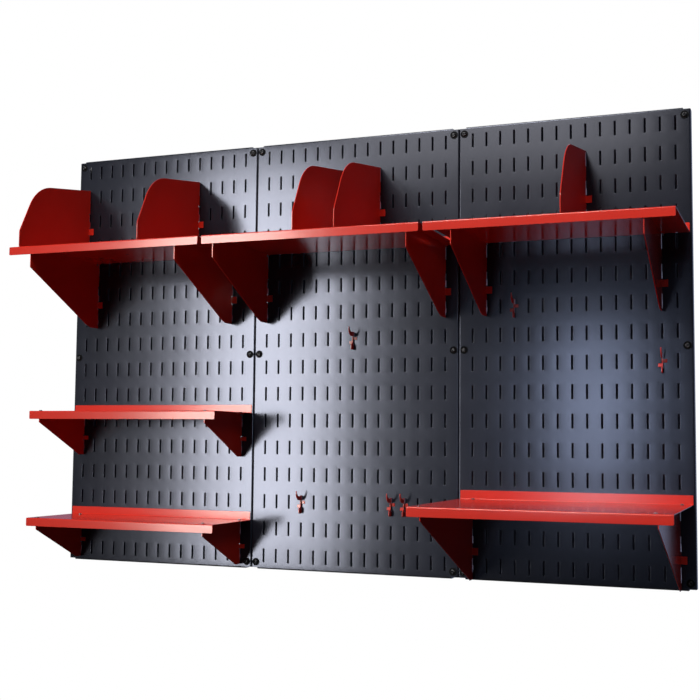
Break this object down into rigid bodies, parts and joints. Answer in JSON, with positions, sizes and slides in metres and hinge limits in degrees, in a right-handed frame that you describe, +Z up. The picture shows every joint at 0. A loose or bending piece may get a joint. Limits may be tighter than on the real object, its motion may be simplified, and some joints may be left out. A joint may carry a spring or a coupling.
{
  "type": "wall-mounted slotted panel storage unit",
  "caption": "Black slotted steel wall panels side by side, with red shelves on brackets, shelf dividers and small hooks hung in the slots.",
  "frame": {"origin": "on the wall plane, behind the middle of the centre panel: the centre of its screw pattern", "axes": "+X to the right seen from the front, +Y into the wall, +Z up; the front of the panels looks along -Y"},
  "size_m": [1.2192, 0.3489, 0.8128],
  "materials": {
    "black_powder_coat": "semi-gloss powder coat on sheet steel",
    "red_powder_coat": "glossy powder coat on sheet steel",
    "black_screw": "black oxide with worn bright edges",
    "black_washer": "black oxide",
    "dark_deck_screw": "dark zinc"
  },
  "bodies": {
    "panels": {"left_panel": "black_powder_coat", "left_wall_screws": "black_screw", "left_screw_washers": "black_washer", "centre_panel": "black_powder_coat", "centre_wall_screws": "black_screw", "centre_screw_washers": "black_washer", "right_panel": "black_powder_coat", "right_wall_screws": "black_screw", "right_screw_washers": "black_washer"},
    "top_left_shelf": {"top_left_shelf_deck": "red_powder_coat", "top_left_shelf_screws": "dark_deck_screw", "top_left_left_bracket": "red_powder_coat", "top_left_right_bracket": "red_powder_coat"},
    "top_left_divider_1_body": {"top_left_divider_1": "red_powder_coat"},
    "top_left_divider_2_body": {"top_left_divider_2": "red_powder_coat"},
    "top_centre_shelf": {"top_centre_shelf_deck": "red_powder_coat", "top_centre_shelf_screws": "dark_deck_screw", "top_centre_left_bracket": "red_powder_coat", "top_centre_right_bracket": "red_powder_coat"},
    "top_centre_divider_1_body": {"top_centre_divider_1": "red_powder_coat"},
    "top_centre_divider_2_body": {"top_centre_divider_2": "red_powder_coat"},
    "top_right_shelf": {"top_right_shelf_deck": "red_powder_coat", "top_right_shelf_screws": "dark_deck_screw", "top_right_left_bracket": "red_powder_coat", "top_right_right_bracket": "red_powder_coat"},
    "top_right_divider_1_body": {"top_right_divider_1": "red_powder_coat"},
    "middle_left_shelf": {"middle_left_shelf_deck": "red_powder_coat", "middle_left_shelf_screws": "dark_deck_screw", "middle_left_left_bracket": "red_powder_coat", "middle_left_right_bracket": "red_powder_coat"},
    "bottom_left_shelf": {"bottom_left_shelf_deck": "red_powder_coat", "bottom_left_shelf_screws": "dark_deck_screw", "bottom_left_left_bracket": "red_powder_coat", "bottom_left_right_bracket": "red_powder_coat"},
    "bottom_right_shelf": {"bottom_right_shelf_deck": "red_powder_coat", "bottom_right_shelf_screws": "dark_deck_screw", "bottom_right_left_bracket": "red_powder_coat", "bottom_right_right_bracket": "red_powder_coat"},
    "centre_upper_hook_body": {"centre_upper_hook": "red_powder_coat"},
    "centre_lower_hook_1_body": {"centre_lower_hook_1": "red_powder_coat"},
    "centre_lower_hook_2_body": {"centre_lower_hook_2": "red_powder_coat"},
    "centre_lower_hook_3_body": {"centre_lower_hook_3": "red_powder_coat"},
    "right_upper_hook_body": {"right_upper_hook": "red_powder_coat"},
    "right_lower_hook_body": {"right_lower_hook": "red_powder_coat"}
  },
  "joints": [
    {"name": "top_left_shelf_lift", "type": "slide", "parent": "panels", "child": "top_left_shelf", "axis": [0, -0.5, 0.866], "range_m": [0, 0.04]},
    {"name": "top_left_divider_1_lift", "type": "slide", "parent": "top_left_shelf", "child": "top_left_divider_1_body", "axis": [0, -0.5, 0.866], "range_m": [0, 0.04]},
    {"name": "top_left_divider_2_lift", "type": "slide", "parent": "top_left_shelf", "child": "top_left_divider_2_body", "axis": [0, -0.5, 0.866], "range_m": [0, 0.04]},
    {"name": "top_centre_shelf_lift", "type": "slide", "parent": "panels", "child": "top_centre_shelf", "axis": [0, -0.5, 0.866], "range_m": [0, 0.04]},
    {"name": "top_centre_divider_1_lift", "type": "slide", "parent": "top_centre_shelf", "child": "top_centre_divider_1_body", "axis": [0, -0.5, 0.866], "range_m": [0, 0.04]},
    {"name": "top_centre_divider_2_lift", "type": "slide", "parent": "top_centre_shelf", "child": "top_centre_divider_2_body", "axis": [0, -0.5, 0.866], "range_m": [0, 0.04]},
    {"name": "top_right_shelf_lift", "type": "slide", "parent": "panels", "child": "top_right_shelf", "axis": [0, -0.5, 0.866], "range_m": [0, 0.04]},
    {"name": "top_right_divider_1_lift", "type": "slide", "parent": "top_right_shelf", "child": "top_right_divider_1_body", "axis": [0, -0.5, 0.866], "range_m": [0, 0.04]},
    {"name": "middle_left_shelf_lift", "type": "slide", "parent": "panels", "child": "middle_left_shelf", "axis": [0, -0.5, 0.866], "range_m": [0, 0.04]},
    {"name": "bottom_left_shelf_lift", "type": "slide", "parent": "panels", "child": "bottom_left_shelf", "axis": [0, -0.5, 0.866], "range_m": [0, 0.04]},
    {"name": "bottom_right_shelf_lift", "type": "slide", "parent": "panels", "child": "bottom_right_shelf", "axis": [0, -0.5, 0.866], "range_m": [0, 0.04]},
    {"name": "centre_upper_hook_tilt", "type": "hinge", "parent": "panels", "child": "centre_upper_hook_body", "pos_m": [0, -0.0186, 0.0381], "axis": [-1, 0, 0], "range_deg": [0, 60]},
    {"name": "centre_lower_hook_1_tilt", "type": "hinge", "parent": "panels", "child": "centre_lower_hook_1_body", "pos_m": [-0.1016, -0.0186, -0.2667], "axis": [-1, 0, 0], "range_deg": [0, 60]},
    {"name": "centre_lower_hook_2_tilt", "type": "hinge", "parent": "panels", "child": "centre_lower_hook_2_body", "pos_m": [0.0762, -0.0186, -0.2667], "axis": [-1, 0, 0], "range_deg": [0, 60]},
    {"name": "centre_lower_hook_3_tilt", "type": "hinge", "parent": "panels", "child": "centre_lower_hook_3_body", "pos_m": [0.1016, -0.0186, -0.2667], "axis": [-1, 0, 0], "range_deg": [0, 60]},
    {"name": "right_upper_hook_tilt", "type": "hinge", "parent": "panels", "child": "right_upper_hook_body", "pos_m": [0.3048, -0.0186, 0.0889], "axis": [-1, 0, 0], "range_deg": [0, 60]},
    {"name": "right_lower_hook_tilt", "type": "hinge", "parent": "panels", "child": "right_lower_hook_body", "pos_m": [0.5588, -0.0186, -0.0127], "axis": [-1, 0, 0], "range_deg": [0, 60]}
  ]
}
